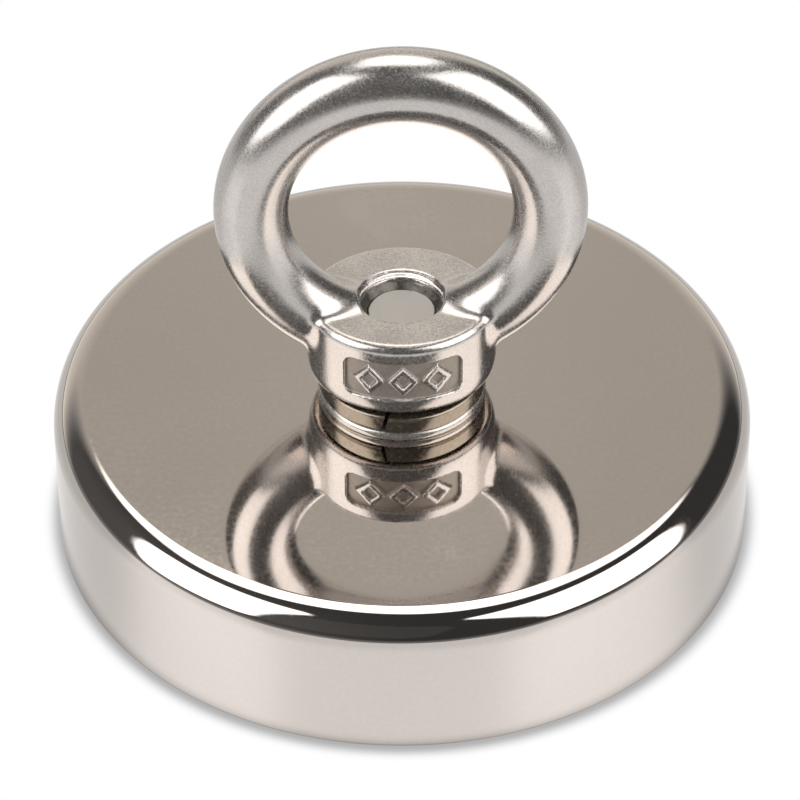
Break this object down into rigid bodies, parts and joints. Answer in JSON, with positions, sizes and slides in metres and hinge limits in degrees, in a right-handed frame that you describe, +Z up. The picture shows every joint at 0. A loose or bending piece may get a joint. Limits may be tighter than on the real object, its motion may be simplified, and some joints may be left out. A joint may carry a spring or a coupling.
{
  "type": "fishing magnet",
  "caption": "Round single-sided pot magnet with a steel cup, a countersunk centre bolt, washers and a screw-off lifting eye nut.",
  "frame": {"origin": "centre of the pulling face, on the plane of the cup's rim", "axes": "+Z up the bolt towards the eye, X along the plane of the eye, -Y towards the side of the collar that bears the raised lozenges"},
  "size_m": [0.09, 0.09, 0.0721],
  "materials": {
    "cup_plating": "bright nickel plating",
    "magnet_plating": "satin nickel plating",
    "adhesive": "cured adhesive",
    "resin": "cured potting resin",
    "turned_steel": "turned stainless steel",
    "bolt_steel": "plain stainless steel",
    "washer_steel": "stamped stainless steel",
    "cast_steel": "tumbled cast stainless steel"
  },
  "bodies": {
    "pot": {"steel_cup": "cup_plating", "ring_magnet": "magnet_plating", "magnet_adhesive": "adhesive", "outer_resin_ring": "resin", "inner_resin_ring": "resin", "centre_bush": "turned_steel", "countersunk_bolt": "bolt_steel", "flat_washer": "washer_steel"},
    "spring_washer": {"spring_washer": "washer_steel"},
    "eye_nut": {"eye_nut": "cast_steel"}
  },
  "joints": [
    {"name": "eye_unscrew", "type": "hinge", "parent": "pot", "child": "spring_washer", "pos_m": [0, 0, 0.022], "axis": [0, 0, 1], "range_deg": [0, 2136]},
    {"name": "eye_lift", "type": "slide", "parent": "spring_washer", "child": "eye_nut", "axis": [0, 0, 1], "range_m": [0, 0.00891]}
  ],
  "couplings": [
    {"joint": "eye_lift", "follows": "eye_unscrew", "m_per_rad": 0.00023873}
  ]
}
